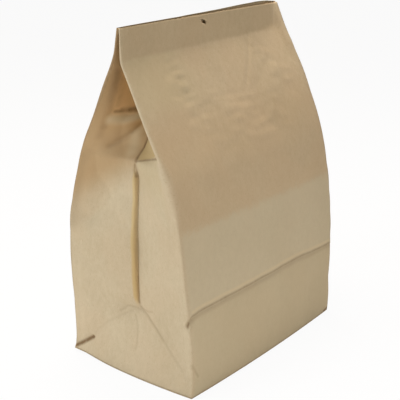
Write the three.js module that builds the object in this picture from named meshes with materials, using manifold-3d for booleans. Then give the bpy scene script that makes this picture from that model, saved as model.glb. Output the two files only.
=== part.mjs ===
// Brown kraft paper bag with side gussets, standing up with its mouth pinched almost flat.
// One sheet makes the whole bag: a tube with six lengthwise folds, closed at the bottom by two
// flaps. Millimetres, +Z up, origin at the middle of the base, front panel towards -Y.

import * as THREE from 'three';
import { mergeVertices } from 'three/addons/utils/BufferGeometryUtils.js';
import Module from 'manifold-3d';

const { clamp, lerp, smoothstep } = THREE.MathUtils;
const degree = Math.PI / 180;

// The folded sheet
const bagWidth = 305;
const bagDepth = 190;
const panelLength = 432;
const backLip = 3;
const paperThickness = 0.25;
const foldRadius = 0.5;

// The walls in side view
const creaseHeight = 94;
const creaseArch = 6;
const creaseSink = 1;
const creaseWidth = 16;
const frontBaseLean = 2.3 * degree;
const frontWallLean = 2.7 * degree;
const frontShoulderStart = 130;
const frontShoulderEndLeft = 297;
const frontShoulderEndRight = 388;
const backBaseLean = 0.2 * degree;
const backWallLean = -0.8 * degree;
const backShoulderStart = 140;
const backShoulderEndLeft = 315;
const backShoulderEndRight = 370;
const baseBulgeFront = 4;
const baseBulgeSide = 5;
const baseBulgeHeight = 260;

// The pinched mouth
const bandHeight = 34;
const bandCreaseWidth = 9;
const frontBandLean = 6 * degree;
const backBandLean = 9 * degree;
const mouthCentreLeft = 5;
const mouthCentreRight = 1.5;
const foldedEndThickness = 4.2;
const mouthBow = 2;
const cornerCurl = 8;
const cornerCurlWidth = 45;

// The gussets
const apexHeight = 86;
const baseFoldRadius = 12;
const baseFoldDepth = 1.5;
const pillowFullness = 6;
const buckleHeight = 262;
const buckleRun = 50;
const puckerHeight = 313;
const puckerDepth = 7;
const puckerReach = 34;

// The lap seam, the bottom flaps and the peg hole
const seamOffset = 30;
const seamWidth = 26;
const seamStep = 0.5;
const flapOverlap = 16;
const flapMargin = 0.6;
const flapSink = 0.05;
const holeLength = 8;
const holeHeight = 3;
const holeTilt = -20 * degree;
const holeDrop = 10;
const holeOffset = -5;

// How finely the skin is cut
const walkStep = 1;
const panelCuts = 10;
const gussetCuts = 8;
const ridgeCuts = 3;
const valleyCuts = 2;
const holeCuts = 8;
const ringSpacing = 24;
const ringGap = 1.5;
const curvePieces = 24;
const solveRounds = 40;
const mergeDistance = 1e-4;

const halfWidth = bagWidth / 2;
const halfDepth = bagDepth / 2;
const floorHeight = 2 * paperThickness;
const bandStart = panelLength - bandHeight;
const bandCreaseHalf = bandCreaseWidth / 2;

// Finds where a rising function reaches a target between two ends.
function solve(rising, target, low, high) {
  for (let i = 0; i < solveRounds; i += 1) {
    const middle = (low + high) / 2;
    if (rising(middle) < target) low = middle;
    else high = middle;
  }
  return (low + high) / 2;
}

// Reads a list of samples, taken evenly along the paper, as a function of paper height.
function readAlong(samples, length) {
  const steps = samples.length - 1;
  return (u) => {
    const place = clamp((u / length) * steps, 0, steps);
    const below = Math.min(Math.floor(place), steps - 1);
    return lerp(samples[below], samples[below + 1], place - below);
  };
}

// Takes a value at even steps along the paper.
function sampled(value, length) {
  const steps = Math.ceil(length / walkStep);
  const samples = Array.from({ length: steps + 1 }, (_, i) => value((i / steps) * length));
  return readAlong(samples, length);
}

// Adds up a slope along the paper and gives the running sum as a function of paper height.
function walk(slope, length) {
  const steps = Math.ceil(length / walkStep);
  const stride = length / steps;
  const sums = [0];
  for (let i = 0; i < steps; i += 1) sums.push(sums[i] + slope((i + 0.5) * stride) * stride);
  return readAlong(sums, length);
}

// One lengthwise outer fold in side view: upright to the bottom crease, leaning in over the
// shoulder and straightened in the band. Its shoulder lean brings it to the mouth exactly.
function wallLine({ baseLean, wallLean, shoulder, bandLean, length, reach }) {
  const leanAt = (u, shoulderLean) => {
    const lower = u < creaseHeight ? baseLean : wallLean;
    const wall = lerp(lower, shoulderLean, smoothstep(u, ...shoulder));
    const pinched = smoothstep(u, bandStart - bandCreaseHalf, bandStart + bandCreaseHalf);
    return lerp(wall, bandLean, pinched);
  };
  const inwardWith = (lean) => walk((u) => Math.sin(leanAt(u, lean)), length);
  const shoulderLean = solve((lean) => inwardWith(lean)(length), reach, 0, Math.PI / 2);
  return {
    inward: inwardWith(shoulderLean),
    rise: walk((u) => Math.cos(leanAt(u, shoulderLean)), length),
  };
}

const frontWall = (shoulderEnd, mouthCentre) => wallLine({
  baseLean: frontBaseLean,
  wallLean: frontWallLean,
  shoulder: [frontShoulderStart, shoulderEnd],
  bandLean: frontBandLean,
  length: panelLength,
  reach: halfDepth + mouthCentre - foldedEndThickness / 2,
});
const backWall = (shoulderEnd, mouthCentre) => wallLine({
  baseLean: backBaseLean,
  wallLean: backWallLean,
  shoulder: [backShoulderStart, shoulderEnd],
  bandLean: backBandLean,
  length: panelLength + backLip,
  reach: halfDepth - mouthCentre - foldedEndThickness / 2,
});
const frontLeft = frontWall(frontShoulderEndLeft, mouthCentreLeft);
const frontRight = frontWall(frontShoulderEndRight, mouthCentreRight);
const backLeft = backWall(backShoulderEndLeft, mouthCentreLeft);
const backRight = backWall(backShoulderEndRight, mouthCentreRight);

// The back panel runs past the front one by its lip, which is taken up within the band.
const backHeight = (u) => u + backLip * clamp((u - bandStart) / bandHeight, 0, 1);

// How full each half of a gusset is: 1 is a flat half, more swells it out like a pillow and leaves
// a steep valley. The pillow collapses over a short run above the buckle.
function fullness(u) {
  const swelling = smoothstep(u, apexHeight, buckleHeight);
  const collapse = clamp((u - buckleHeight) / buckleRun, 0, 1);
  return 1 + (pillowFullness - 1) * swelling * (1 - collapse);
}

// Length of the curve that goes across by span and in by depth * v ** power.
function curveLength(span, depth, power) {
  let length = 0;
  for (let i = 0; i < curvePieces; i += 1) {
    const inward = depth * (((i + 1) / curvePieces) ** power - (i / curvePieces) ** power);
    length += Math.hypot(span / curvePieces, inward);
  }
  return length;
}

// The valley fold in the middle of a gusset. Half of the depth of paper lies on each side of it, so
// the valley goes in as the front and back walls come together.
function valleyLine(front, back) {
  const frontY = (u) => -halfDepth + front.inward(u);
  const backY = (u) => halfDepth - back.inward(backHeight(u));
  const depthOfFold = (u) => {
    const span = (backY(u) - frontY(u)) / 2;
    return solve((depth) => curveLength(span, depth, fullness(u)), halfDepth, 0, halfDepth);
  };
  const apexDepth = depthOfFold(apexHeight);
  const depth = sampled((u) => {
    if (u < apexHeight) return lerp(baseFoldDepth, apexDepth, u / apexHeight);
    return depthOfFold(u);
  }, panelLength);
  const y = (u) => (frontY(u) + backY(u)) / 2;
  const climb = (u) => {
    const slopeIn = (depth(u + walkStep) - depth(u - walkStep)) / (2 * walkStep);
    const slopeAcross = (y(u + walkStep) - y(u - walkStep)) / (2 * walkStep);
    return Math.sqrt(Math.max(0, 1 - slopeIn ** 2 - slopeAcross ** 2));
  };
  return { depth, y, apexDepth, rise: walk(climb, panelLength) };
}

const valleyLeft = valleyLine(frontLeft, backLeft);
const valleyRight = valleyLine(frontRight, backRight);

// The six folds at one paper height, anticlockwise from the front left. Each is a small arc that the
// paper turns round: a ridge has the arc's centre inside the bag, and a valley has it outside.
function foldsAt(u) {
  const ridge = (side, line, sign, height) => ({
    x: side * (halfWidth - foldRadius),
    y: sign * (halfDepth - line.inward(height) - foldRadius),
    z: floorHeight + line.rise(height),
    radius: foldRadius,
    cuts: ridgeCuts,
  });
  const valleyRadius = lerp(baseFoldRadius, foldRadius, clamp(u / apexHeight, 0, 1));
  const valley = (side, line) => ({
    x: side * (halfWidth - line.depth(u) + valleyRadius),
    y: line.y(u),
    z: floorHeight + line.rise(u),
    radius: -valleyRadius,
    cuts: valleyCuts,
  });
  return [
    ridge(-1, frontLeft, -1, u),
    ridge(1, frontRight, -1, u),
    valley(1, valleyRight),
    ridge(1, backRight, 1, backHeight(u)),
    ridge(-1, backLeft, 1, backHeight(u)),
    valley(-1, valleyLeft),
  ];
}

// How far a gusset half stands out from the straight line between its folds, where v is 0 at the
// ridge and 1 at the valley. Below the apex it makes the triangle that folds under the base.
function gussetSwell(line, v, u) {
  if (u < apexHeight) return line.apexDepth * (v * (u / apexHeight) - Math.min(v, u / apexHeight));
  return line.depth(u) * (v - v ** fullness(u));
}

// The pucker on the far half of the left gusset: a dent above a soft shelf.
function pucker(v, u) {
  const across = Math.sin(Math.PI * v) ** 2;
  const above = (u - puckerHeight) / puckerReach;
  return -puckerDepth * across * Math.sin(Math.PI * clamp(above, -1, 1));
}

// Bows both panels apart in the middle of the mouth.
function panelBow(t, u) {
  const across = 1 - (2 * t - 1) ** 2;
  return mouthBow * across * smoothstep(u, bandStart, panelLength);
}

// The bottom crease of the front panel is arched: its middle lies higher than its ends.
function creaseLift(t, u) {
  const across = 1 - (2 * t - 1) ** 2;
  return creaseArch * across * Math.max(0, 1 - Math.abs(u - creaseHeight) / creaseHeight);
}

// The bottom crease is a shallow groove that fades out at the folds.
function creaseGroove(t, u) {
  const across = 1 - (2 * t - 1) ** 4;
  return creaseSink * across * Math.max(0, 1 - Math.abs(u - creaseHeight) / (creaseWidth / 2));
}

const evenCuts = (count) => Array.from({ length: count - 1 }, (_, i) => (i + 1) / count);
const seamEdges = [seamOffset, seamOffset + seamWidth];
const isSeam = (x) => x > seamEdges[0] && x < seamEdges[1];

// The back panel has extra cuts on each side of the two edges of its lap seam.
const backCuts = [
  ...evenCuts(panelCuts),
  ...seamEdges.flatMap((edge) => [edge - seamStep / 2, edge + seamStep / 2])
    .map((x) => (halfWidth - x) / bagWidth),
].sort((a, b) => a - b);

// The stretches of paper between the folds, in the same order: where they are cut, how the drape
// moves a point, and whether they run into a valley fold.
const stretches = [
  {
    cuts: evenCuts(panelCuts),
    drape: (t, u) => [0, creaseGroove(t, u) - panelBow(t, u), creaseLift(t, u)],
  },
  {
    cuts: evenCuts(gussetCuts),
    drape: (t, u) => [gussetSwell(valleyRight, t, u), 0, 0],
    intoValley: true,
  },
  {
    cuts: evenCuts(gussetCuts),
    drape: (t, u) => [gussetSwell(valleyRight, 1 - t, u), 0, 0],
  },
  {
    cuts: backCuts,
    drape: (t, u, inset) => {
      const raised = inset === 0 && isSeam(halfWidth - t * bagWidth) ? paperThickness : 0;
      return [0, panelBow(t, u) + raised, 0];
    },
  },
  {
    cuts: evenCuts(gussetCuts),
    drape: (t, u) => [-gussetSwell(valleyLeft, t, u) - pucker(t, u), 0, 0],
    intoValley: true,
  },
  {
    cuts: evenCuts(gussetCuts),
    drape: (t, u) => [-gussetSwell(valleyLeft, 1 - t, u), 0, 0],
  },
];

// The weight of the standing bag swells its lower walls, and the right corner of the mouth curls
// back past the end of the band crease.
function settle(point) {
  const low = 1 - smoothstep(point.z, 0, baseBulgeHeight);
  const acrossFront = Math.max(0, 1 - (point.x / halfWidth) ** 2);
  const acrossSide = Math.max(0, 1 - (point.y / halfDepth) ** 2);
  const bulgeX = baseBulgeSide * low * acrossSide * (point.x / halfWidth);
  const bulgeY = baseBulgeFront * low * acrossFront * (point.y / halfDepth);
  const corner = smoothstep(point.x, halfWidth - cornerCurlWidth, halfWidth);
  const top = floorHeight + frontRight.rise(panelLength);
  const curl = cornerCurl * corner * smoothstep(point.z, top - bandHeight, top);
  return new THREE.Vector3(point.x + bulgeX, point.y + bulgeY + curl, point.z);
}

// One ring round the bag at a paper height. An inset of 0 gives the outside of the paper.
function ringAt(u, inset) {
  const folds = foldsAt(u);
  const next = (i) => (i + 1) % folds.length;
  const headings = folds.map((a, i) => {
    const b = folds[next(i)];
    const distance = Math.hypot(b.x - a.x, b.y - a.y);
    return Math.atan2(b.y - a.y, b.x - a.x) + Math.asin((a.radius - b.radius) / distance);
  });
  const onFold = (fold, heading) => new THREE.Vector3(
    fold.x + (fold.radius - inset) * Math.sin(heading),
    fold.y - (fold.radius - inset) * Math.cos(heading),
    fold.z,
  );
  const ring = [];
  folds.forEach((fold, i) => {
    const before = headings[(i + folds.length - 1) % folds.length];
    const left = THREE.MathUtils.euclideanModulo(headings[i] - before, 2 * Math.PI);
    const turn = fold.radius > 0 ? left : left - 2 * Math.PI;
    for (let k = 0; k <= fold.cuts; k += 1) {
      ring.push(onFold(fold, before + (turn * k) / fold.cuts));
    }
    const from = onFold(fold, headings[i]);
    const to = onFold(folds[next(i)], headings[i]);
    for (const t of stretches[i].cuts) {
      const drape = new THREE.Vector3(...stretches[i].drape(t, u, inset));
      ring.push(from.clone().lerp(to, t).add(drape));
    }
  });
  return ring.map(settle);
}

// Marks the columns of the ring whose quads are split along the creases that climb to the apex.
const risingColumns = foldsAt(0).flatMap((fold, i) => [
  ...Array(fold.cuts).fill(false),
  ...Array(stretches[i].cuts.length + 1).fill(Boolean(stretches[i].intoValley)),
]);

// The paper heights of the rings: one at each fold, crease and turn of the drape, with even rings
// where these lie far apart. Below the apex the rings meet the diagonal creases at the cuts.
const ringMarks = [
  ...evenCuts(gussetCuts).map((t) => t * apexHeight),
  apexHeight,
  creaseHeight,
  creaseHeight + creaseWidth / 2,
  frontShoulderStart,
  buckleHeight,
  buckleHeight + buckleRun / 2,
  puckerHeight - puckerReach / 2,
  puckerHeight,
  puckerHeight + puckerReach / 2,
  puckerHeight + puckerReach,
  bandStart - bandCreaseHalf,
  bandStart,
  bandStart + bandCreaseHalf,
  panelLength,
].filter((mark) => mark <= panelLength).sort((a, b) => a - b);
const rowHeights = [0];
for (const mark of ringMarks) {
  const from = rowHeights[rowHeights.length - 1];
  const count = Math.ceil((mark - from) / ringSpacing);
  if (mark - from < ringGap) continue;
  for (let k = 1; k <= count; k += 1) rowHeights.push(lerp(from, mark, k / count));
}

// Joins the rings into one closed skin: outside, inside, mouth rim, and the floor on both sides.
function paperShell() {
  const outside = rowHeights.map((u) => ringAt(u, 0));
  const inside = rowHeights.map((u) => ringAt(u, paperThickness));
  for (const point of inside[0]) point.z += paperThickness;
  const columns = outside[0].length;
  const points = [...outside, ...inside].flat();
  const triangles = [];
  const outer = (row, column) => row * columns + (column % columns);
  const inner = (row, column) => (rowHeights.length + row) * columns + (column % columns);
  const quad = (a, b, c, d, splitAC) => {
    if (splitAC) triangles.push(a, b, c, a, c, d);
    else triangles.push(a, b, d, b, c, d);
  };
  for (let column = 0; column < columns; column += 1) {
    const rising = risingColumns[column];
    for (let row = 0; row + 1 < rowHeights.length; row += 1) {
      const [a, b] = [outer(row, column), outer(row, column + 1)];
      const [d, c] = [outer(row + 1, column), outer(row + 1, column + 1)];
      quad(a, b, c, d, rising);
      const [e, f] = [inner(row, column), inner(row, column + 1)];
      const [h, g] = [inner(row + 1, column), inner(row + 1, column + 1)];
      quad(f, e, h, g, !rising);
    }
    const rim = rowHeights.length - 1;
    quad(outer(rim, column), outer(rim, column + 1), inner(rim, column + 1), inner(rim, column), true);
  }
  const flat = (ring) => ring.map((point) => new THREE.Vector2(point.x, point.y));
  for (const [a, b, c] of THREE.ShapeUtils.triangulateShape(flat(outside[0]), [])) {
    triangles.push(outer(0, a), outer(0, c), outer(0, b));
  }
  for (const [a, b, c] of THREE.ShapeUtils.triangulateShape(flat(inside[0]), [])) {
    triangles.push(inner(0, a), inner(0, b), inner(0, c));
  }
  const geometry = new THREE.BufferGeometry().setFromPoints(points);
  geometry.setIndex(triangles);
  return geometry;
}

// A bottom flap: a trapezoid with 45 degree sides, folded in from one long edge of the base past
// the middle. Its long edge follows the bulged base.
function bottomFlap(side, bottom) {
  const edge = halfDepth - flapMargin;
  const corner = halfWidth - flapMargin;
  const reach = edge + flapOverlap;
  const shape = new THREE.Shape();
  shape.moveTo(-corner, side * edge);
  shape.quadraticCurveTo(0, side * (edge + 2 * baseBulgeFront), corner, side * edge);
  shape.lineTo(corner - reach, side * (edge - reach));
  shape.lineTo(reach - corner, side * (edge - reach));
  shape.closePath();
  const depth = paperThickness + flapSink;
  const geometry = new THREE.ExtrudeGeometry(shape, { depth, bevelEnabled: false });
  return geometry.translate(0, 0, bottom);
}

// The cutter for the peg hole, a small slanted oval through both panels of the band.
function pegHole() {
  const shape = new THREE.Shape();
  shape.absellipse(0, 0, holeLength / 2, holeHeight / 2, 0, 2 * Math.PI, false, holeTilt);
  const geometry = new THREE.ExtrudeGeometry(shape, {
    depth: bagDepth,
    bevelEnabled: false,
    curveSegments: holeCuts,
  });
  const height = floorHeight + frontLeft.rise(panelLength - holeDrop);
  return geometry.translate(0, 0, -halfDepth).rotateX(Math.PI / 2).translate(holeOffset, 0, height);
}

const wasm = await Module();
wasm.setup();

// Turns a closed geometry into a solid that can be joined or cut.
function solid(geometry) {
  const bare = geometry.clone();
  bare.deleteAttribute('normal');
  bare.deleteAttribute('uv');
  const merged = mergeVertices(bare, mergeDistance);
  return new wasm.Manifold(new wasm.Mesh({
    numProp: 3,
    vertProperties: merged.attributes.position.array,
    triVerts: new Uint32Array(merged.index.array),
  }));
}

// Turns a solid back into a geometry with its own normals.
function geometryOf(body) {
  const mesh = body.getMesh();
  const geometry = new THREE.BufferGeometry();
  geometry.setAttribute('position', new THREE.BufferAttribute(mesh.vertProperties, mesh.numProp));
  geometry.setIndex(new THREE.BufferAttribute(mesh.triVerts, 1));
  geometry.computeVertexNormals();
  return geometry;
}

const folded = solid(paperShell())
  .add(solid(bottomFlap(1, paperThickness)))
  .add(solid(bottomFlap(-1, 0)))
  .subtract(solid(pegHole()));

const kraft = new THREE.MeshStandardMaterial({ color: 0xbfa27a, roughness: 0.85, metalness: 0 });
const paperBag = new THREE.Mesh(geometryOf(folded), kraft);
paperBag.name = 'paper_bag';

const bag = new THREE.Group();
bag.add(paperBag);

export default bag;
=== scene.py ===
import math

import bmesh
import bpy
import numpy as np
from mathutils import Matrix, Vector, noise


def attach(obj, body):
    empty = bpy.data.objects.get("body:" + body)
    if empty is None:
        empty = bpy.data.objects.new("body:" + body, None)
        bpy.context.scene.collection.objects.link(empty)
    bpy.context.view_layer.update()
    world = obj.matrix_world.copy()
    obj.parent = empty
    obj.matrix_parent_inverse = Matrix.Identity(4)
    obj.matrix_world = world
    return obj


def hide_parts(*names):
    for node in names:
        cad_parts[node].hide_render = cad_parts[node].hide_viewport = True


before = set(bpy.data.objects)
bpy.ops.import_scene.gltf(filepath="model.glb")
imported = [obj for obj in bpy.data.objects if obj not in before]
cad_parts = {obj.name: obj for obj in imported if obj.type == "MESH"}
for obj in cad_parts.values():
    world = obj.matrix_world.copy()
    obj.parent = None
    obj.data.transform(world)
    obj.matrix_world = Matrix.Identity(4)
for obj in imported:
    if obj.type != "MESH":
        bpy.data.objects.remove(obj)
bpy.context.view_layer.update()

# The blank: one sheet of brown kraft paper, cut to length from a roll. It goes once round the bag,
# laps over itself on the back panel, and runs on below the base line to make the bottom. Flat, its X
# is the way round the bag, called s below, and its Y is the height along the paper, called u.
bag_width = 0.305
bag_depth = 0.190
panel_length = 0.432
bottom_length = 0.105
lap_edge = 0.030
lap_width = 0.026
fold_paper = 0.003
fold_cuts = 4
crease_shift = 0.007
half_width = bag_width / 2
half_depth = bag_depth / 2
far_width = half_depth + crease_shift
near_width = half_depth - crease_shift

# The strips of the sheet in order: width, number of cuts, and the paper that the outer fold after
# the strip takes up. The two halves of a gusset meet in a valley, which is a sharp fold. The cuts
# are crowded near the valleys, near the hole in the back panel and near the flare of the mouth.
strips = [
    ("back_left", half_width + lap_edge + lap_width, 24, fold_paper),
    ("left_far", far_width, 46, 0),
    ("left_near", near_width, 42, fold_paper),
    ("front", bag_width, 92, fold_paper),
    ("right_near", near_width, 26, 0),
    ("right_far", far_width, 32, fold_paper),
    ("back_right", half_width - lap_edge, 14, 0),
]
valley_crowding = 1.5
hole_crowding = [0, 0.2, 0.62, 1], [0, 0.25, 0.36, 1]
flare_crowding = [0, 0.82, 1], [0, 0.93, 1]
strip_start = {}
across = [0.0]
for name, width, cuts, fold in strips:
    strip_start[name] = across[-1]
    steps = np.linspace(0, 1, cuts + 1)[1:]
    if name == "back_left":
        steps = np.interp(steps, *hole_crowding)
    if name == "left_far":
        steps = 1 - (1 - steps) ** valley_crowding
    if name == "right_far":
        steps = steps ** valley_crowding
    if name == "front":
        steps = np.interp(steps, *flare_crowding)
    across += list(across[-1] + width * steps)
    if fold:
        across += [across[-1] + fold * (k + 1) / fold_cuts for k in range(fold_cuts)]
across = np.array(across)
far_start = strip_start["left_far"]
near_start = strip_start["left_near"]
front_start = strip_start["front"]
right_start = strip_start["right_near"]

base_radius = 0.0012
base_arc = base_radius * math.pi / 2
crease_rows = [0.0885, 0.0910, 0.0932, 0.0948, 0.0957, 0.0964, 0.0974, 0.0990, 0.1015, 0.1045]
up = np.concatenate([
    np.linspace(-bottom_length, -base_arc, 17),
    np.linspace(-base_arc, 0.0, 4)[1:-1],
    np.linspace(0.0, 0.086, 29),
    crease_rows,
    np.linspace(0.1075, 0.250, 41),
    np.linspace(0.2527, 0.3175, 24),
    np.linspace(0.3195, 0.3455, 14),
    np.linspace(0.3482, 0.388, 13),
    np.linspace(0.3905, panel_length, 19),
])

sheet = bmesh.new()
bmesh.ops.create_grid(sheet, x_segments=len(across) - 1, y_segments=len(up) - 1, size=0.5)
for vert in sheet.verts:
    column = round((vert.co.x + 0.5) * (len(across) - 1))
    row = round((vert.co.y + 0.5) * (len(up) - 1))
    vert.co.x = across[column]
    vert.co.y = up[row]

# The bottom crease: the line where the bottom was folded up against the front panel, when the bag
# lay flat. It wavers, so the rows of the mesh near it are shifted to run along it.
crease_row = 0.096
crease_reach = 0.02


def path_on(*stops):
    return [(strip_start[name] + over, height) for name, over, height in stops]


bottom_crease = path_on(
    ("left_near", 0.060, 0.0905), ("left_near", 0.0868, 0.0900), ("left_near", 0.0895, 0.0945),
    ("front", 0.0030, 0.0992), ("front", 0.0060, 0.1008), ("front", 0.0146, 0.1021),
    ("front", 0.066, 0.1024), ("front", 0.119, 0.1028), ("front", 0.172, 0.1036),
    ("front", 0.205, 0.1040), ("front", 0.232, 0.1033), ("front", 0.252, 0.1011),
    ("front", 0.302, 0.0988), ("right_near", 0.030, 0.0978))


def crease_at(s):
    return np.interp(s, *zip(*bottom_crease))


for vert in sheet.verts:
    near_line = max(0.0, 1 - abs(vert.co.y - crease_row) / crease_reach)
    vert.co.y += (crease_at(vert.co.x) - crease_row) * near_line ** 2 * (3 - 2 * near_line)

# The peg hole: a small slanted oval, punched through both panels near the mouth. In the back panel
# it lies a little lower than in the front one, so that no light shows through.
hole_length = 0.0115
hole_height = 0.0042
hole_tilt = math.radians(-24)
punch_reach = 1.15
front_hole = Vector((front_start + 0.1460, panel_length - 0.0083, 0))
back_hole = Vector((lap_edge + lap_width + 0.0065, panel_length - 0.0150, 0))


def in_hole(point, centre):
    away = point - centre
    along = away.x * math.cos(hole_tilt) + away.y * math.sin(hole_tilt)
    over = away.y * math.cos(hole_tilt) - away.x * math.sin(hole_tilt)
    return Vector((2 * along / hole_length, 2 * over / hole_height)).length


for centre in (front_hole, back_hole):
    punched = {face for face in sheet.faces if in_hole(face.calc_center_median(), centre) < punch_reach}
    rim = [edge for edge in sheet.edges
           if punched.intersection(edge.link_faces) and not punched.issuperset(edge.link_faces)]
    bmesh.ops.delete(sheet, geom=list(punched), context="FACES")
    cut = bmesh.ops.subdivide_edges(sheet, edges=rim, cuts=1)
    outline = {vert for edge in rim for vert in edge.verts} | {
        part for part in cut["geom_inner"] if isinstance(part, bmesh.types.BMVert)}
    for vert in outline:
        vert.co = centre + (vert.co - centre) / in_hole(vert.co, centre)

# The flat sheet is kept as a UV map, so that the finish of the paper follows its folds.
flat_uv = sheet.loops.layers.uv.new("flat_sheet")
for face in sheet.faces:
    for loop in face.loops:
        loop[flat_uv].uv = loop.vert.co.xy

# The four outer folds: the long edges of the front and back panels, seen from the side. Each has its
# own stand on the floor and its own leans, in degrees, at heights along the paper, in millimetres:
# upright at the foot, in over a soft shoulder, and nearly upright again in the band at the mouth.
band_height = 0.034
band_start = panel_length - band_height
shoulder = 0.16, 0.24
places = np.linspace(0, panel_length, 433)
place_step = places[1]


def smooth_rise(value, low, high):
    part = np.clip((value - low) / (high - low), 0, 1)
    return part * part * (3 - 2 * part)


def mix(a, b, part):
    return a + (b - a) * part


def outer_fold(stand, reach, lip, heights, leans):
    middles = places[:-1] + place_step / 2
    inward = np.sin(np.radians(np.interp(middles, np.array(heights) / 1000, leans)))
    upper = inward * smooth_rise(middles, *shoulder)
    inward += upper * (reach - inward.sum() * place_step) / (upper.sum() * place_step)
    rise = np.sqrt(1 - inward ** 2)
    gone_in = np.concatenate([[0], np.cumsum(inward * place_step)])
    climbed = np.concatenate([[0], np.cumsum(rise * place_step)])
    return {
        "y": lambda u: stand - np.interp(u, places, gone_in),
        "rise": lambda u: np.interp(u, places, climbed) + lip * smooth_rise(u, band_start, panel_length),
    }


front_left = outer_fold(
    stand=0.0962, reach=0.0969, lip=0.0030,
    heights=[0, 18, 30, 48, 70, 110, 140, 180, 205, 225, 245, 262, 280, 300, 330, 391, 396, 401, 432],
    leans=[-3.6, -3.2, 0.5, 3.4, 5.0, 7.6, 7.0, 7.2, 9.8, 15.0, 19, 25.5, 32, 30.5, 28.5, 27.0, 14, 3, 0])
front_right = outer_fold(
    stand=0.0920, reach=0.0990, lip=0.0014,
    heights=[0, 90, 118, 152, 186, 219, 252, 285, 301, 318, 343, 386, 404, 432],
    leans=[0.3, 0.3, 2.2, 5.5, 8.2, 12.3, 15, 21.6, 23.7, 26, 27, 31, 29, 25])
back_left = outer_fold(
    stand=0.0921, reach=0.0864, lip=0.0015,
    heights=[0, 130, 150, 160, 175, 200, 217, 258, 266, 291, 300, 350, 380, 390, 397, 404, 411, 432],
    leans=[-1.2, -1.4, 0, 2.4, 7, 15, 16.2, 16.8, 18.7, 26.5, 27.3, 27.2, 25.5, 21.5, 19, 15, 12, 11])
back_right = outer_fold(
    stand=0.0950, reach=0.0832, lip=0.0016,
    heights=[0, 120, 150, 190, 230, 270, 310, 350, 388, 402, 432],
    leans=[-1.5, -2.0, 0, 4, 10, 17, 23, 27, 29, 14, 9])

# The gussets: the two sides of the bag, each creased down the middle so that it folds inwards. The
# near half of a side stays flat up to a buckle, where the fold goes in deep. The far half drops
# into the fold like a low wall. Higher up it turns in beside the back edge, more and more.
apex_height = 0.086
apex_blend = apex_height - 0.004, apex_height + 0.016
fold_heights = np.array([
    0, 86, 110, 140, 165, 200, 225, 243, 257, 265.5, 275, 286, 300, 345, 372, 440]) / 1000
fold_depths = np.array([
    0, 16.0, 16.8, 18.6, 19.6, 19.0, 19.8, 20.6, 17.6, 15.8, 23.8, 33.0, 41.0, 78.5, 93.0, 94.5]) / 1000
right_lift = 0.009
centring = 0.300, 0.380


def valley(front, back, lift):
    front_y = -front["y"](places)
    back_y = back["y"](places)
    depth = np.interp(places, fold_heights + lift * (fold_heights > apex_height), fold_depths)
    middle = (front_y + back_y) / 2 - crease_shift * (1 - smooth_rise(places, *centring))
    slope_in = np.gradient(depth, places)
    slope_across = np.gradient(middle, places)
    climb = np.sqrt(np.clip(1 - slope_in ** 2 - slope_across ** 2, 0, 1))
    rise = np.concatenate([[0], np.cumsum((climb[1:] + climb[:-1]) / 2 * place_step)])
    return {
        "depth": lambda u: np.interp(u, places, depth),
        "y": lambda u: np.interp(u, places, middle),
        "rise": lambda u: np.interp(u, places, rise),
        "lift": lift,
    }


valley_left = valley(front_left, back_left, 0)
valley_right = valley(front_right, back_right, right_lift)


def base_swell(v, u):
    climbed = np.minimum(u / apex_height, 1)
    return fold_depths[1] * (v * climbed - np.minimum(v, climbed))


# The far half of a gusset: a ledge that reaches almost to the valley, the wall beside the valley, the
# bend where it starts to turn in beside the back edge, and a dent above the shelf near the mouth.
ledge_depth = 0.0128
turn_depth = 0.0142
turn_heights = 0.165, 0.235
deepening = 0.240, 0.272
wall_sharpness = 110
bend_heights = 0.16, 0.20
bend_start = 0.02
bend_ends = 0.30, 0.95
widening_start = 0.18
widening_height = 0.08
bend_loss = 0.85
buckle_heights = 0.245, 0.275
shelf_places = [0, 0.27, 0.46, 0.57, 0.67, 0.83, 1]
shelf_heights = np.array([323, 324, 325.5, 329.6, 335, 343, 350]) / 1000
dent_depth = 0.0075
dent_below = 0.011
dent_above = 0.014
dent_start = 0.20, 0.42
dent_fade = 8


def far_swell(line, v, u):
    """How far the half stands out from a flat one, at part v of the way in to the valley."""
    depth = line["depth"](u)
    height = u - line["lift"]
    folding = smooth_rise(height, *buckle_heights)
    ledge = mix(ledge_depth, turn_depth, smooth_rise(height, *turn_heights))
    ledge = mix(ledge, depth, smooth_rise(height, *deepening))
    widened = np.clip((height - widening_start) / widening_height, 0, 1)
    bend_end = mix(*bend_ends, widened)
    bent = smooth_rise(height, *bend_heights) * (1 - bend_loss * folding)
    on_ledge = mix(v, smooth_rise(v, bend_start, bend_end), bent)
    inward = ledge * on_ledge + (depth - ledge) * v ** wall_sharpness
    over = height - np.interp(v, shelf_places, shelf_heights)
    dent = np.clip(np.minimum(1 + over / dent_below, 1 - over / dent_above), 0, 1)
    inward = inward + dent_depth * smooth_rise(v, *dent_start) * (1 - v ** dent_fade) * dent
    return mix(base_swell(v, u), depth * v - inward, smooth_rise(u, *apex_blend))


# The tube: the sheet goes round the four outer folds like a belt round pulleys, and in to the two
# valleys between them. The base line is one more fold all round, and the last edge laps over the
# first one on the back panel, where it is glued.
ridge_radius = 0.0017
band_ridge_radius = 0.0011
ridge_taper = 0.08
soft_fold = 0.0038
soft_start = 0.195, 0.240
soft_end = 0.258, 0.282
paper = 0.00025
hair = 1e-6


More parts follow.
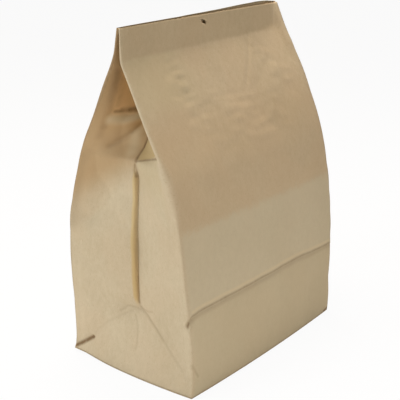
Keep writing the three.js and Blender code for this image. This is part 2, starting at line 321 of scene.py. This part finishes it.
def folds_at(u):
    outer = mix(ridge_radius, band_ridge_radius, smooth_rise(u, band_start - ridge_taper, band_start))
    softened = soft_fold * smooth_rise(u, *soft_start) * (1 - smooth_rise(u, *soft_end))

    def ridge(side, line, facing, rounder=0):
        radius = outer + rounder
        y = facing * (line["y"](u) - radius)
        return side * (half_width - radius), y, base_radius + line["rise"](u), radius

    def inside(side, line):
        return side * (half_width - line["depth"](u)), line["y"](u), base_radius + line["rise"](u), 0 * u

    ring = [
        ridge(-1, back_left, 1),
        inside(-1, valley_left),
        ridge(-1, front_left, -1, softened),
        ridge(1, front_right, -1),
        inside(1, valley_right),
        ridge(1, back_right, 1),
    ]
    return np.array([np.broadcast_arrays(*fold) for fold in ring])


# The band at the mouth is pressed flat from the left. Its crease rounds up a little and ends in an
# upright fold before the right edge, which flares towards the front.
band_depth = 0.0118
band_round = 0.022
round_part = 0.86, 0.965
flare_part = 0.963, 0.987
press_heights = [0.250, 0.290, 0.330, 0.365, band_start]
press_depths = [0, 0.0015, 0.0045, 0.0082, band_depth]


def band_press(t, u):
    raised = band_round * smooth_rise(t, *round_part)
    below = np.interp(u - raised, press_heights, press_depths)
    inside_band = band_depth * (panel_length - u) / band_height
    return t * np.minimum(below, inside_band) * (1 - smooth_rise(t, *flare_part))


# Where each strip departs from the straight line between its folds: the gussets swell, the right
# one keeps behind the front panel, the mouth is pinched, and the lap lies on the back panel.
panel_gap = 0.0008
gap_start = 0.05
lap_step = 0.0003
lap_slope = 0.004
mouth_pinch = 0.0018
back_lip = [[0, 0.06, 0.14, 0.25, 0.40, 0.60, 0.85, 1], [0, 2.4, 3.2, 3.0, 1.9, 1.05, 0.5, 0]]


def drape(name, t, u):
    if name == "left_far":
        return -far_swell(valley_left, t, u), 0, 0
    if name == "right_far":
        return far_swell(valley_right, 1 - t, u), 0, 0
    if name == "left_near":
        return -base_swell(1 - t, u), 0, 0
    if name == "right_near":
        across_front = 1 - t * valley_right["depth"](u) / bag_width
        panel = band_press(across_front, u) - mix(front_left["y"](u), front_right["y"](u), across_front)
        half = mix(2 * band_ridge_radius - front_right["y"](u), valley_right["y"](u), t)
        behind = np.maximum(0, panel + panel_gap - half) * smooth_rise(t, 0, gap_start)
        return base_swell(t, u), behind, 0
    pinch = mouth_pinch * (1 - (2 * t - 1) ** 2) * smooth_rise(u, band_start, panel_length)
    if name == "front":
        return 0, band_press(t, u) + pinch, 0
    x = half_width - t * bag_width
    over = 1 - smooth_rise(x, lap_edge + lap_width, lap_edge + lap_width + lap_slope)
    lip = np.interp(t, *back_lip) / 1000 * smooth_rise(u, band_start, panel_length)
    return 0, (lap_step * over if name == "back_right" else 0) - pinch, lip


def tube(s, u):
    wall_u = np.maximum(u, 0)
    folds = folds_at(wall_u)
    turned = np.clip(-u / base_arc, 0, 1) * math.pi / 2
    inset = base_radius * (1 - np.cos(turned))
    ahead = np.roll(folds, -1, axis=0)
    step_x, step_y = ahead[:, 0] - folds[:, 0], ahead[:, 1] - folds[:, 1]
    lean = np.arcsin((folds[:, 3] - ahead[:, 3]) / np.hypot(step_x, step_y))
    headings = np.arctan2(step_y, step_x) + lean

    def on_fold(i, heading):
        x, y, z, radius = folds[i]
        out = radius - inset
        return np.array([x + out * np.sin(heading), y - out * np.cos(heading), z])

    place = np.zeros((3, len(s)))
    for i, (name, width, _, fold) in enumerate(strips):
        start = strip_start[name]
        end = start + width
        before, after = (i - 1) % len(folds), i % len(folds)
        t = (s - start) / width
        if name == "back_left":
            t = (half_width - lap_edge - lap_width + s) / bag_width
        if name == "back_right":
            t = (s - start) / bag_width
        t = np.clip(t, 0, 1)
        heading = headings[before]
        straight = mix(on_fold(before, heading), on_fold(after, heading), t)
        for axis, moved in enumerate(drape(name, t, wall_u)):
            straight[axis] += moved
        place = np.where((s >= start - hair) & (s <= end + hair), straight, place)
        if fold:
            turn = np.mod(headings[after] - heading, 2 * math.pi)
            arc = on_fold(after, heading + turn * (s - end) / fold)
            place = np.where((s > end + hair) & (s < end + fold - hair), arc, place)
    place[2] -= base_radius * np.sin(turned)
    return place


# The bottom: below the base line the gussets tuck in first, then the back and the front panel fold
# under as flaps with 45 degree corners. The front flap overlaps the back one and is glued to it.
layer = 1.3 * paper
layer_run = 0.01


def bottom(s, u, base_line):
    x, y, _ = base_line
    under = np.maximum(-u - base_arc, 0)
    side_x, side_y = np.sign(x), np.sign(y)
    corner = np.maximum(half_width - np.abs(x), 0)
    gusset = np.zeros(len(s), bool)
    for name, width, _, _ in strips:
        if name.startswith(("left", "right")):
            gusset |= (s > strip_start[name] - fold_paper) & (s < strip_start[name] + width + fold_paper)
    wing = ~gusset & (corner < under)
    under_x = np.where(gusset, x - side_x * under, np.where(wing, side_x * (half_width - under), x))
    under_y = np.where(gusset, y, y - side_y * np.where(wing, corner, under))
    layers = np.where(gusset, 3, np.where(wing, 2, np.where(side_y > 0, 1, 0)))
    return np.array([under_x, under_y, layer * layers * smooth_rise(under, 0, layer_run)])


# The stand of the bag: its lower walls swell a little, its right front corner is pushed out of
# square, and the left end of the mouth sinks.
bulge_front = 0.004
bulge_side = 0.005
bulge_height = 0.260
skew_x = 0.0056
skew_y = 0.0036
skew_heights = 0.03, 0.22
mouth_sink = 0.004
sink_middle = 0.40
sink_slope = 0.60
sink_heights = 0.345, 0.415


def settle(place):
    x, y, z = place
    low = 1 - smooth_rise(z, 0, bulge_height)
    across_front = np.maximum(0, 1 - (x / half_width) ** 2)
    across_side = np.maximum(0, 1 - (y / half_depth) ** 2)
    to_corner = (1 + x / half_width) / 2 * np.clip(-y / half_depth, 0, 1)
    skewed = to_corner * (1 - smooth_rise(z, *skew_heights))
    sunk = mouth_sink * (sink_middle - sink_slope * x / half_width)
    return np.array([
        x + bulge_side * low * across_side * x / half_width - skew_x * skewed,
        y + bulge_front * low * across_front * y / half_depth - skew_y * skewed,
        z - sunk * smooth_rise(z, *sink_heights),
    ])


flat_s, flat_u = np.array([vert.co[:2] for vert in sheet.verts]).T
wall_place = tube(flat_s, np.maximum(flat_u, -base_arc))
under_place = bottom(flat_s, flat_u, wall_place)
folded = settle(np.where(flat_u < -base_arc - hair, under_place, wall_place))

# The loose corner: the back left corner of the base, which has worked loose in use. It stands a
# little off the floor and points outwards.
loose_out = np.array([[-0.0021], [0.0027]])
loose_reach = 0.012
loose_lift = 0.0030
lift_reach = 0.040
corner = np.array([[-half_width], [back_left["y"](0)], [0]])
from_corner = np.linalg.norm(folded - corner, axis=0)
folded[:2] += loose_out * np.exp(-(from_corner / loose_reach) ** 2)
folded[2] += loose_lift * np.exp(-(from_corner / lift_reach) ** 2)
for vert, place in zip(sheet.verts, folded.T):
    vert.co = place
sheet.normal_update()

# Creases and dents: marks that folding, packing and standing have left in the paper. Each is a
# path on the flat sheet, given by the strip, the way across it and the height along the paper, and
# is pressed in or out along the paper's normal.


def path_in(name, *stops):
    return path_on(*((name, *stop) for stop in stops))


near_diagonal = path_in(
    "left_near", (0.001, 0.0855), (0.0061, 0.0830), (0.0142, 0.0785), (0.028, 0.0680),
    (0.040, 0.0570), (0.0519, 0.0460), (0.0717, 0.0304), (0.084, 0.012))
corner_tuck = path_in("left_far", (0.0005, 0.0030), (0.0124, 0.0129), (0.0272, 0.0246))
far_diagonal = path_in(
    "left_far", (0.0272, 0.0246), (0.0363, 0.0384), (0.0525, 0.0537), (0.0745, 0.0691), (0.101, 0.0850))
under_apex = path_in(
    "left_far", (0.0965, 0.0735), (0.1005, 0.0645), (0.1018, 0.0535), (0.1018, 0.0424), (0.1005, 0.0340))
apex_brow = path_on(
    ("left_far", 0.0729, 0.0743), ("left_far", 0.0787, 0.0783), ("left_far", 0.0847, 0.0836),
    ("left_far", 0.0956, 0.0836), ("left_near", 0, 0.0825), ("left_near", 0.0066, 0.0848),
    ("left_near", 0.0155, 0.0843), ("left_near", 0.024, 0.0875))
buckle_crease = path_in("left_near", (0.001, 0.2655), (0.0244, 0.2722), (0.050, 0.2772), (0.0758, 0.2815))
buckle_knot = path_in("left_far", (0.0995, 0.2600), (0.0988, 0.2540), (0.1012, 0.2465))
pillow_crease = path_in(
    "left_far", (0.0440, 0.2825), (0.0589, 0.2920), (0.0695, 0.3010), (0.0765, 0.3150))
foot_crease = path_on(("left_near", 0.0893, 0.0429), ("front", 0.0047, 0.0303), ("front", 0.0075, 0.0260))
corner_tick = bottom_crease[1:4]
packing_fold = path_in(
    "front", (0, 0.195), (0.045, 0.1956), (0.120, 0.200), (0.187, 0.1957), (bag_width, 0.1955))


def distance_to(path):
    nearest = np.full(len(flat_s), 9.0)
    for (s0, u0), (s1, u1) in zip(path, path[1:]):
        run_s, run_u = s1 - s0, u1 - u0
        part = ((flat_s - s0) * run_s + (flat_u - u0) * run_u) / (run_s ** 2 + run_u ** 2)
        part = np.clip(part, 0, 1)
        away = np.hypot(flat_s - s0 - part * run_s, flat_u - u0 - part * run_u)
        nearest = np.minimum(nearest, away)
    return nearest


press = np.zeros(len(flat_s))
for path, height, width, power in [
    (near_diagonal, -0.0018, 0.0060, 1),
    (corner_tuck, -0.0032, 0.0040, 1),
    (far_diagonal, -0.0009, 0.0060, 1),
    (under_apex, -0.0008, 0.0050, 1),
    (buckle_crease, -0.0016, 0.0045, 1),
    (corner_tick, -0.0024, 0.0034, 2),
    (pillow_crease, -0.0030, 0.0080, 1),
    (apex_brow, -0.0008, 0.0030, 1),
    (buckle_knot, -0.0012, 0.0030, 1),
    (foot_crease, -0.0008, 0.0030, 1),
]:
    press += height * np.exp(-(distance_to(path) / width) ** power)

# Two long marks on the front panel: the soft ridge where it was folded over in its flat pack, and
# the step at the bottom crease, whose upper lip stands out over a shallow groove.
ridge_height = 0.0026
ridge_reach = 0.024
lip_height = 0.0011
lip_reach = 0.004
groove_depth = 0.0009
groove_reach = 0.006
over_front = (flat_s - front_start) / bag_width
packed = smooth_rise(over_front, 0, 0.2) * (1 - smooth_rise(over_front, 0.8, 0.99))
press += ridge_height * packed * np.exp(-distance_to(packing_fold) / ridge_reach)
on_front = smooth_rise(flat_s, front_start - 0.004, front_start + 0.003)
on_front *= 1 - smooth_rise(flat_s, right_start - 0.006, right_start)
above = flat_u - crease_at(flat_s)
upper_lip = lip_height * np.exp(-above / lip_reach)
lower_groove = -groove_depth * np.exp(above / groove_reach)
press += on_front * np.where(above > 0, upper_lip, lower_groove)

# The slack of the paper: a slow sag, a fine grain, soft buckles that are stronger in the gusset, and
# ripples in four places on the front panel. The lap and the folded halves near the mouth stay flat.
sag_height = 0.0009
grain_height = 0.00022
swell_height = 0.0018
ripple_height = 0.0028
rippled = np.zeros(len(flat_s))
for path, width, share in [
    (path_in("front", (0.072, 0.384), (0.0745, 0.346)), 0.015, 1.05),
    (path_in("front", (0.0745, 0.346), (0.0725, 0.310)), 0.012, 0.6),
    (path_in("front", (0.2385, 0.373), (0.253, 0.357), (0.264, 0.342)), 0.018, 0.6),
    (path_in("front", (0.100, 0.318), (0.205, 0.296)), 0.040, 0.35),
]:
    rippled = np.maximum(rippled, share * np.exp(-(distance_to(path) / width) ** 2))
off_lap = smooth_rise(flat_s, lap_width + 0.004, lap_width + 0.030)
off_lap *= 1 - smooth_rise(flat_s, across[-1] - lap_width - 0.030, across[-1] - lap_width - 0.004)
folded_in = np.zeros(len(flat_s))
whole_half = 0.030 * smooth_rise(flat_u, 0.380, 0.400)
for valley_start, way in ((near_start, 1), (strip_start["right_far"], -1)):
    from_valley = (flat_s - valley_start) * way
    inside_fold = smooth_rise(from_valley + whole_half, -0.075, -0.050)
    inside_fold *= 1 - smooth_rise(from_valley, 0.080, 0.088)
    folded_in = np.maximum(folded_in, inside_fold)
calm = 1 - folded_in * smooth_rise(flat_u, 0.325, 0.350)
on_wall = smooth_rise(flat_u, 0, 0.006)
on_gusset = smooth_rise(flat_s, far_start, far_start + 0.02)
on_gusset *= 1 - smooth_rise(flat_s, near_start - 0.008, near_start)


def sway(s, u, across_scale, up_scale, draw, slant=0):
    return noise.noise(Vector((s * across_scale + u * slant, u * up_scale, draw)))


for vert, amount, share, ripple, slack, s, u in zip(
        sheet.verts, press, on_wall * off_lap * calm, rippled, on_gusset, flat_s, flat_u):
    wave = sway(s, u, across_scale=14, up_scale=11, draw=3.1) * sag_height
    wave += sway(s, u, across_scale=45, up_scale=38, draw=7.7) * grain_height
    wave += abs(sway(s, u, across_scale=24, up_scale=20, draw=1.3)) * swell_height * (1 + slack)
    wave += sway(s, u, across_scale=62, up_scale=125, draw=8.6, slant=25) * ripple_height * ripple
    vert.co += vert.normal * share * (amount + wave)

# The finished sheet gets the thickness of the paper on its inner side, so that the outer face stays
# where the folds have put it.
scene = bpy.context.scene
bag_mesh = bpy.data.meshes.new("paper_bag")
sheet.to_mesh(bag_mesh)
sheet.free()
bag_mesh.shade_smooth()
bag = bpy.data.objects.new("kraft_bag", bag_mesh)
scene.collection.objects.link(bag)
wall = bag.modifiers.new("paper", "SOLIDIFY")
wall.thickness = paper
wall.offset = -1

# The paper's finish: unbleached kraft, matt, with fibres that lie mostly along the roll, a cloudy tone,
# small dark and pale flecks, and creases that are darkened partly by wear and mostly by painted shade.


class Finish:
    """A value in a node tree, which can be added to and multiplied like a number."""

    def __init__(self, socket):
        self.socket = socket

    @classmethod
    def node(cls, tree, kind, settings, values, output=0):
        made = tree.nodes.new(kind)
        for name, value in settings.items():
            setattr(made, name, value)
        for name, value in values.items():
            if isinstance(value, cls):
                tree.links.new(value.socket, made.inputs[name])
            else:
                made.inputs[name].default_value = value
        return None if output is None else cls(made.outputs[output])

    def math(self, operation, first, second):
        tree = self.socket.id_data
        return Finish.node(tree, "ShaderNodeMath", {"operation": operation}, {0: first, 1: second})

    def __add__(self, other):
        return self.math("ADD", self, other)

    def __radd__(self, other):
        return self.math("ADD", other, self)

    def __sub__(self, other):
        return self.math("SUBTRACT", self, other)

    def __rsub__(self, other):
        return self.math("SUBTRACT", other, self)

    def __mul__(self, other):
        return self.math("MULTIPLY", self, other)

    def __rmul__(self, other):
        return self.math("MULTIPLY", other, self)

    def least(self, other):
        return self.math("MINIMUM", self, other)

    def most(self, other):
        return self.math("MAXIMUM", self, other)


def linear(red, green, blue):
    levels = [level / 255 for level in (red, green, blue)]
    return [x / 12.92 if x < 0.04045 else ((x + 0.055) / 1.055) ** 2.4 for x in levels] + [1]


kraft = bpy.data.materials.new("kraft")
kraft.use_nodes = True
kraft_tree = kraft.node_tree
shader = kraft_tree.nodes["Principled BSDF"]
on_sheet = Finish.node(kraft_tree, "ShaderNodeUVMap", {"uv_map": "flat_sheet"}, {})
across_sheet = Finish.node(kraft_tree, "ShaderNodeSeparateXYZ", {}, {0: on_sheet}, output=0)
up_sheet = Finish.node(kraft_tree, "ShaderNodeSeparateXYZ", {}, {0: on_sheet}, output=1)


def stretched(scale_across, scale_up, turn, detail, roughness):
    place = Finish.node(kraft_tree, "ShaderNodeMapping", {}, {
        "Vector": on_sheet, "Rotation": (0, 0, math.radians(turn)), "Scale": (scale_across, scale_up, 1)})
    return Finish.node(kraft_tree, "ShaderNodeTexNoise", {"noise_dimensions": "2D"}, {
        "Vector": place, "Scale": 1, "Detail": detail, "Roughness": roughness})


def step_up(value, low, high):
    return Finish.node(kraft_tree, "ShaderNodeMapRange", {"interpolation_type": "SMOOTHSTEP"}, {
        "Value": value, "From Min": low, "From Max": high})


def step_down(value, low, high):
    return 1 - step_up(value, low, high)


def blend_colour(part, first, second):
    return Finish.node(
        kraft_tree, "ShaderNodeMix", {"data_type": "RGBA"}, {0: part, 6: first, 7: second}, output=2)


def painted(ground, tints):
    for mask, strength, tint in tints:
        ground = blend_colour(mask * strength, ground, linear(*tint))
    return ground


fibre = stretched(1500, 210, turn=4, detail=5, roughness=0.62)
cross_fibre = stretched(900, 260, turn=58, detail=3, roughness=0.6)
cloud = stretched(150, 95, turn=0, detail=3, roughness=0.55)
drift = stretched(13, 9, turn=20, detail=2, roughness=0.5)
warm = step_up(stretched(17, 12, turn=-15, detail=2, roughness=0.5), 0.42, 0.62)
fleck = step_up(stretched(820, 330, turn=25, detail=1, roughness=0.5), 0.66, 0.76)
pale_fleck = step_up(stretched(640, 240, turn=-35, detail=1, roughness=0.5), 0.68, 0.78)
tone = (fibre - 0.5) * 0.42 + (cross_fibre - 0.5) * 0.2 + (cloud - 0.5) * 0.45 + (drift - 0.5) * 0.5 + 0.5
colour = blend_colour(tone.most(0).least(1), linear(183, 164, 133), linear(213, 198, 171))
colour = painted(colour, [
    (warm, 0.22, (203, 180, 150)),
    (fleck, 0.22, (150, 122, 84)),
    (pale_fleck, 0.18, (226, 211, 184)),
])

# Painted shade and bounced light in the gussets: a deeper brown where shade falls in the fold, on the
# turned-in far half of each gusset, at the foot of the wall beside its valley and on the near half above
# and just below the buckle, and a warm painted tint for light bounced about inside the fold, on that wall
# and on the deepest part of the far half.
for far, near, way in (("left_far", "left_near", 1), ("right_far", "right_near", -1)):
    outer_edge = strip_start[far] + (0 if way > 0 else far_width)
    from_edge = (across_sheet - outer_edge) * way
    on_far = step_up(from_edge, -0.008, 0.002) * step_down(from_edge, 0.100, 0.103)
    # Painted shade where the far half turns in beside the back edge.
    tuck_shade = on_far * step_up(up_sheet - from_edge * 0.55, 0.180, 0.236)
    # Painted warm bounce light on the deepest part of the far half.
    bounce_light = on_far * step_up(from_edge, 0.008, 0.024) * step_up(up_sheet, 0.285, 0.345)
    # Painted warm bounce light on the wall beside the valley, with painted shade at its foot.
    wall_bounce = on_far * step_up(from_edge, 0.0950, 0.0985) * step_up(up_sheet, 0.085, 0.100)
    wall_bounce = wall_bounce * step_down(up_sheet, 0.240, 0.262)
    wall_foot_shade = wall_bounce * step_down(up_sheet, 0.120, 0.200)
    inner_edge = strip_start[near] + (0 if way > 0 else near_width)
    from_fold = (across_sheet - inner_edge) * way
    # Painted shade on the facet above the buckle.
    facet_shade = step_up(from_fold, -0.001, 0.002) * step_down(from_fold, 0.070, 0.086)
    facet_shade = facet_shade * step_up(up_sheet - from_fold * 0.24, 0.2650, 0.2685)
    # Painted shade on the near half just below the buckle.
    below = step_up(from_fold, -0.001, 0.002) * step_up(up_sheet, 0.205, 0.262)
    below = below * step_down(from_fold, 0.070, 0.086) * (1 - facet_shade)
    colour = painted(colour, [
        (tuck_shade, 0.70, (172, 136, 89)),
        (bounce_light, 0.90, (226, 188, 138)),
        (wall_bounce, 0.50, (214, 184, 118)),
        (wall_foot_shade, 0.35, (180, 142, 82)),
        (facet_shade, 0.9, (174, 149, 104)),
        (below, 0.30, (182, 163, 122)),
    ])

# Painted light and shade on the front panel: paler and greyer below the fold of its flat pack, where
# light bounces up from the floor, paler at its upper left, which leans back to the overhead light, and
# darker below the bottom crease, in the middle and in the pressed band, where less light falls. The top
# edge of the back panel has a dark painted line, painted shade of the slit of the mouth along its cut
# edge.
front_face = step_up(across_sheet, front_start - 0.004, front_start + 0.006)
front_face = front_face * step_down(across_sheet, right_start - 0.004, right_start)
above_pack = step_up(up_sheet + (cloud - 0.5) * 0.016, 0.190, 0.204)
# Painted shade below the bottom crease.
below_crease_shade = front_face * step_down(up_sheet, 0.096, 0.102)
# Painted shade in the middle of the panel, where less light falls from above.
middle = front_face * above_pack * step_down(up_sheet, 0.290, 0.350)
# Painted shade in the pressed band at the mouth.
band_shade = front_face * step_up(up_sheet, band_start - 0.003, band_start + 0.003)
band_shade = band_shade * step_down(across_sheet, front_start + 0.2880, front_start + 0.2960)
# Painted light on the upper left of the panel, which leans back to the overhead light.
leaning_light = front_face * step_up(up_sheet, 0.315, 0.350) * (1 - band_shade)
leaning_light = leaning_light * step_down(across_sheet, front_start + 0.060, front_start + 0.125)
back_face = step_down(across_sheet, far_start - 0.004, far_start).most(
    step_up(across_sheet, strip_start["back_right"] - 0.004, strip_start["back_right"]))
colour = painted(colour, [
    # Painted light below the fold of the flat pack, from the floor.
    (front_face * (1 - above_pack), 0.45, (200, 192, 167)),
    (below_crease_shade, 0.20, (186, 166, 126)),
    (middle, 0.25, (184, 157, 120)),
    (band_shade, 0.22, (168, 146, 108)),
    (leaning_light, 0.35, (200, 188, 152)),
    # Painted shade of the mouth's slit along the cut edge of the back panel.
    (back_face * step_up(up_sheet, 0.4292, 0.4308), 0.75, (112, 98, 68)),
])

# Dark lines: painted shade along folds and creases, in the narrow hollows of the gusset, under its shelf
# and along the base, partly also wear where the fibres are broken. Three places that stand out, the lip
# above the bottom crease, the face below the shelf and the top of the pillow, get a painted highlight.
base_line = [(far_start, 0.0004), (strip_start["back_right"], 0.0004)]
base_nib = path_in("front", (0.295, 0.0012), (0.3045, 0.0030))
back_fold = path_in("left_far", (-0.0015, 0.004), (-0.0015, panel_length))
right_fold = path_in("right_near", (-0.0015, 0.004), (-0.0015, panel_length))
groove_line = path_in("left_near", (0.0004, 0.0915), (0.0004, 0.1250), (0.0004, 0.1700))
inner_fold = path_in("left_near", (0.0005, 0.2655), (0.0005, 0.304))
edge_shade = path_in("left_far", (0.0030, 0.1750), (0.0060, 0.2620))
core_line = path_in("left_far", (0.0110, 0.3800), (0.0186, 0.3356), (0.0214, 0.3070))
core_tail = path_in("left_far", (0.0214, 0.3070), (0.0212, 0.2950))
core_shade = path_in("left_far", (0.0200, 0.3720), (0.0250, 0.3400))
shelf_edge = path_in("left_far", (0.0276, 0.3265), (0.0471, 0.328), (0.0577, 0.332), (0.068, 0.3375))
shelf_wedge = path_in("left_far", (0.036, 0.3315), (0.0577, 0.3385), (0.072, 0.3470))
wedge_end = path_in("left_far", (0.0450, 0.3335), (0.0530, 0.3370), (0.0600, 0.3415), (0.0700, 0.3480))
pillow_top = path_in("left_far", (0.0790, 0.3020), (0.0870, 0.2800))


def moved_up(path, height):
    return [(s, u + height) for s, u in path]


def vector_math(operation, first, values, output=0):
    return Finish.node(
        kraft_tree, "ShaderNodeVectorMath", {"operation": operation}, {0: first, **values}, output)


def line_distance(path):
    nearest = None
    for (s0, u0), (s1, u1) in zip(path, path[1:]):
        run = Vector((s1 - s0, u1 - u0, 0))
        away = vector_math("SUBTRACT", on_sheet, {1: (s0, u0, 0)})
        along = vector_math("DOT_PRODUCT", away, {1: run / run.length_squared}, output=1)
        reach = vector_math("SCALE", run, {"Scale": along.most(0).least(1)})
        gap = vector_math("DISTANCE", away, {1: reach}, output=1)
        nearest = gap if nearest is None else nearest.least(gap)
    return nearest


def line_mask(path, width):
    return step_down(line_distance(path), 0, width)


crease_shade_and_wear = None
for path, strength, width in [
    (moved_up(bottom_crease[1:-1], 0.0011), 0.42, 0.0036),
    (moved_up(bottom_crease[3:-1], -0.0020), 0.20, 0.0060),
    (near_diagonal[:5], 0.24, 0.0045),
    (near_diagonal[4:7], 0.10, 0.0045),
    (corner_tuck, 0.95, 0.0042),
    (far_diagonal, 0.07, 0.0030),
    (under_apex, 0.12, 0.0030),
    (apex_brow, 0.16, 0.0026),
    (pillow_crease, 0.20, 0.0090),
    (buckle_knot, 0.50, 0.0030),
    (foot_crease, 0.20, 0.0030),
    (buckle_crease, 0.60, 0.0030),
    (inner_fold, 0.80, 0.0050),
    (core_line, 0.40, 0.0115),
    (core_tail, 0.22, 0.0115),
    (core_shade, 0.26, 0.0120),
    (wedge_end, 0.78, 0.0080),
    (edge_shade, 0.24, 0.0180),
    (groove_line[:2], 0.30, 0.0026),
    (groove_line[1:], 0.15, 0.0026),
    (corner_tick[:2], 0.80, 0.0042),
    (moved_up(shelf_edge, 0.0034), 0.62, 0.0056),
    (shelf_wedge, 0.55, 0.0085),
    (base_line, 0.50, 0.0018),
    (base_nib, 0.85, 0.0035),
    (back_fold, 0.50, 0.0030),
    (right_fold, 0.45, 0.0030),
]:
    line = line_mask(path, width) * strength
    crease_shade_and_wear = line if crease_shade_and_wear is None else crease_shade_and_wear.most(line)
crease_shade_and_wear = crease_shade_and_wear * (0.55 + cloud * 0.9)
# Painted shade, with some wear, along the folds, creases and hollows.
colour = blend_colour(crease_shade_and_wear.least(0.9), colour, linear(118, 90, 56))
highlight_tint = 216, 198, 164
# Painted highlights on the lip above the bottom crease, below the shelf and on the top of the pillow.
colour = painted(colour, [
    (line_mask(moved_up(bottom_crease[4:-1], 0.0052), 0.0036), 0.50, highlight_tint),
    (line_mask(moved_up(shelf_edge, -0.0080), 0.0125), 0.85, highlight_tint),
    (line_mask(pillow_top, 0.0160), 0.45, highlight_tint),
])

# The relief, in metres: fibres, the cloudy formation of the sheet, and soft lines where what lay
# behind the panel has pressed through.
relief = fibre * 0.000012 + cross_fibre * 0.000006 + cloud * 0.00006 - crease_shade_and_wear * 0.0003
for path, width, height in [
    (path_in("front", (0.238, 0.402), (0.215, 0.372), (0.187, 0.337)), 0.0070, 0.0006),
    (path_in("front", (0.146, 0.416), (0.139, 0.391)), 0.0040, 0.0006),
]:
    relief = relief - line_mask(path, width) * height
bump = Finish.node(kraft_tree, "ShaderNodeBump", {}, {"Height": relief, "Strength": 1, "Distance": 1})
rough = 0.80 + (cloud - 0.5) * 0.12 + (fibre - 0.5) * 0.08
kraft_tree.links.new(colour.socket, shader.inputs["Base Color"])
kraft_tree.links.new(rough.socket, shader.inputs["Roughness"])
kraft_tree.links.new(bump.socket, shader.inputs["Normal"])
shader.inputs["Specular IOR Level"].default_value = 0.35
bag_mesh.materials.append(kraft)
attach(bag, "root")
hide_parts("paper_bag")

# The studio: a pale floor, a large soft lamp on the left and a little behind the bag, a soft lamp
# overhead, a low card in front, and a white surround that the camera sees behind the bag.
floor_reach = 6
floor_white = 0.94


def bare_ray(tree):
    rays = ["Is Camera Ray", "Is Glossy Ray", "Is Transmission Ray"]
    parts = [Finish.node(tree, "ShaderNodeLightPath", {}, {}, output=ray) for ray in rays]
    return parts[0].most(parts[1]).most(parts[2])


ground = bmesh.new()
bmesh.ops.create_grid(ground, x_segments=1, y_segments=1, size=floor_reach)
floor_mesh = bpy.data.meshes.new("floor")
ground.to_mesh(floor_mesh)
ground.free()
floor = bpy.data.objects.new("floor", floor_mesh)
scene.collection.objects.link(floor)
floor_paint = bpy.data.materials.new("floor_paint")
floor_paint.use_nodes = True
floor_tree = floor_paint.node_tree
floor_tree.nodes.clear()
seen = bare_ray(floor_tree)
paint = Finish.node(floor_tree, "ShaderNodeBsdfDiffuse", {}, {"Color": (0.8, 0.8, 0.8, 1)})
white = Finish.node(floor_tree, "ShaderNodeEmission", {}, {"Color": (1, 1, 1, 1), "Strength": 1})
surface = Finish.node(floor_tree, "ShaderNodeMixShader", {}, {0: seen * floor_white, 1: paint, 2: white})
Finish.node(floor_tree, "ShaderNodeOutputMaterial", {}, {"Surface": surface}, output=None)
floor_mesh.materials.append(floor_paint)

scene.view_settings.view_transform = "Standard"
world = bpy.data.worlds.new("studio")
scene.world = world
world.use_nodes = True
room_tree = world.node_tree
room_tree.nodes.clear()
seen = bare_ray(room_tree)
soft = Finish.node(room_tree, "ShaderNodeBackground", {}, {"Color": (1, 0.87, 0.72, 1), "Strength": 0.25})
white = Finish.node(room_tree, "ShaderNodeBackground", {}, {"Color": (1, 1, 1, 1), "Strength": 1})
surround = Finish.node(room_tree, "ShaderNodeMixShader", {}, {0: seen, 1: soft, 2: white})
Finish.node(room_tree, "ShaderNodeOutputWorld", {}, {"Surface": surround}, output=None)


def soft_lamp(name, place, aim, size, energy, colour):
    lamp = bpy.data.lights.new(name, "AREA")
    lamp.size = size
    lamp.energy = energy
    lamp.color = colour
    stand = bpy.data.objects.new(name, lamp)
    stand.visible_camera = False
    stand.location = place
    stand.rotation_euler = (Vector(aim) - Vector(place)).to_track_quat("-Z", "Y").to_euler()
    scene.collection.objects.link(stand)


soft_lamp(
    "left_lamp", place=(-1.85, 0.75, 0.95), aim=(0, 0, 0.2),
    size=0.8, energy=20.9, colour=(0.89, 0.97, 1))
soft_lamp(
    "top_lamp", place=(0.1, 0.3, 1.5), aim=(0, 0, 0.2),
    size=0.9, energy=23.5, colour=(1, 0.89, 0.76))
soft_lamp(
    "low_card", place=(-0.25, -0.85, 0.04), aim=(0.05, -0.1, 0.06),
    size=0.5, energy=2.85, colour=(1, 0.98, 0.93))

# The camera: it looks down at the left front fold from the place that was fitted to the corners and
# edges of the bag in the photo. The focal length was found in pixels of that picture.
photo_width = 400
focal_pixels = 875
look_down = 18.824
look_right = 51.10
view = bpy.data.cameras.new("view")
view.sensor_width = 36
view.lens = view.sensor_width * focal_pixels / photo_width
camera = bpy.data.objects.new("view", view)
camera.location = (-0.8279, -0.6536, 0.5405)
camera.rotation_euler = (math.radians(90 - look_down), 0, math.radians(-look_right))
scene.collection.objects.link(camera)
scene.camera = camera
